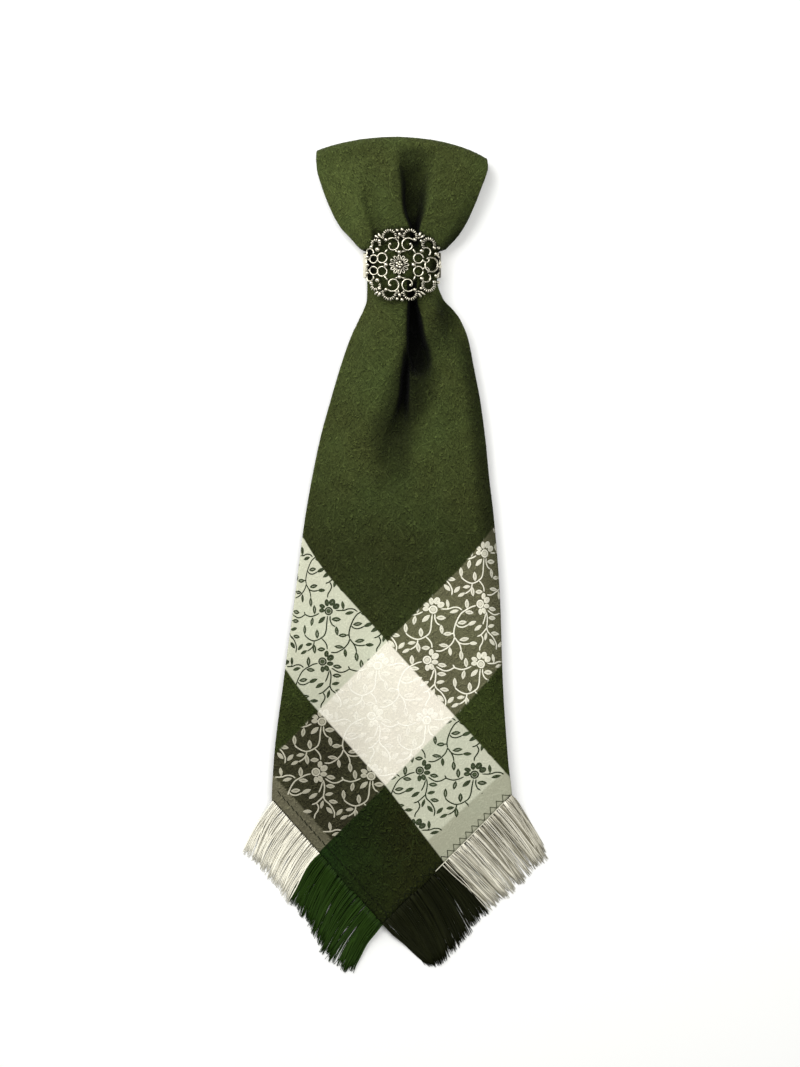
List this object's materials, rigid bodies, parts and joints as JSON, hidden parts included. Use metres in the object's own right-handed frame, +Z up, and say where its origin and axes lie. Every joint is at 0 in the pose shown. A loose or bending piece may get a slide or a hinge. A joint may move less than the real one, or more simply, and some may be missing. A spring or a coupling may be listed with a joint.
{
  "type": "neckerchief with ring",
  "caption": "Folded jacquard neckerchief with pointed, fringed tail, doubled over at the top and drawn through an openwork oval scarf ring, lying flat.",
  "frame": {"origin": "middle of the scarf ring's flat underside, on the surface that the neckerchief lies on", "axes": "+X to the wearer's left as worn, right as seen from above, +Y along the cloth towards the arched top that goes round the neck, +Z up off the surface, out of the rosette"},
  "size_m": [0.1374, 0.3735, 0.0164],
  "materials": {
    "jacquard_cloth": "crepe jacquard, satin vines on a matt ground, olive green with cream checks at the tail",
    "antiqued_silver": "cast silver-coloured filigree, darkened in its recesses",
    "cream_fringe": "loose satin threads",
    "green_fringe": "loose satin threads",
    "dark_fringe": "loose satin threads"
  },
  "bodies": {
    "root": {"kerchief": "jacquard_cloth", "scarf_ring": "antiqued_silver", "fringe_left_cream": "cream_fringe", "fringe_left_green": "green_fringe", "fringe_right_dark": "dark_fringe", "fringe_right_cream": "cream_fringe", "fringe_back_left": "green_fringe", "fringe_back_right": "green_fringe"}
  },
  "joints": []
}
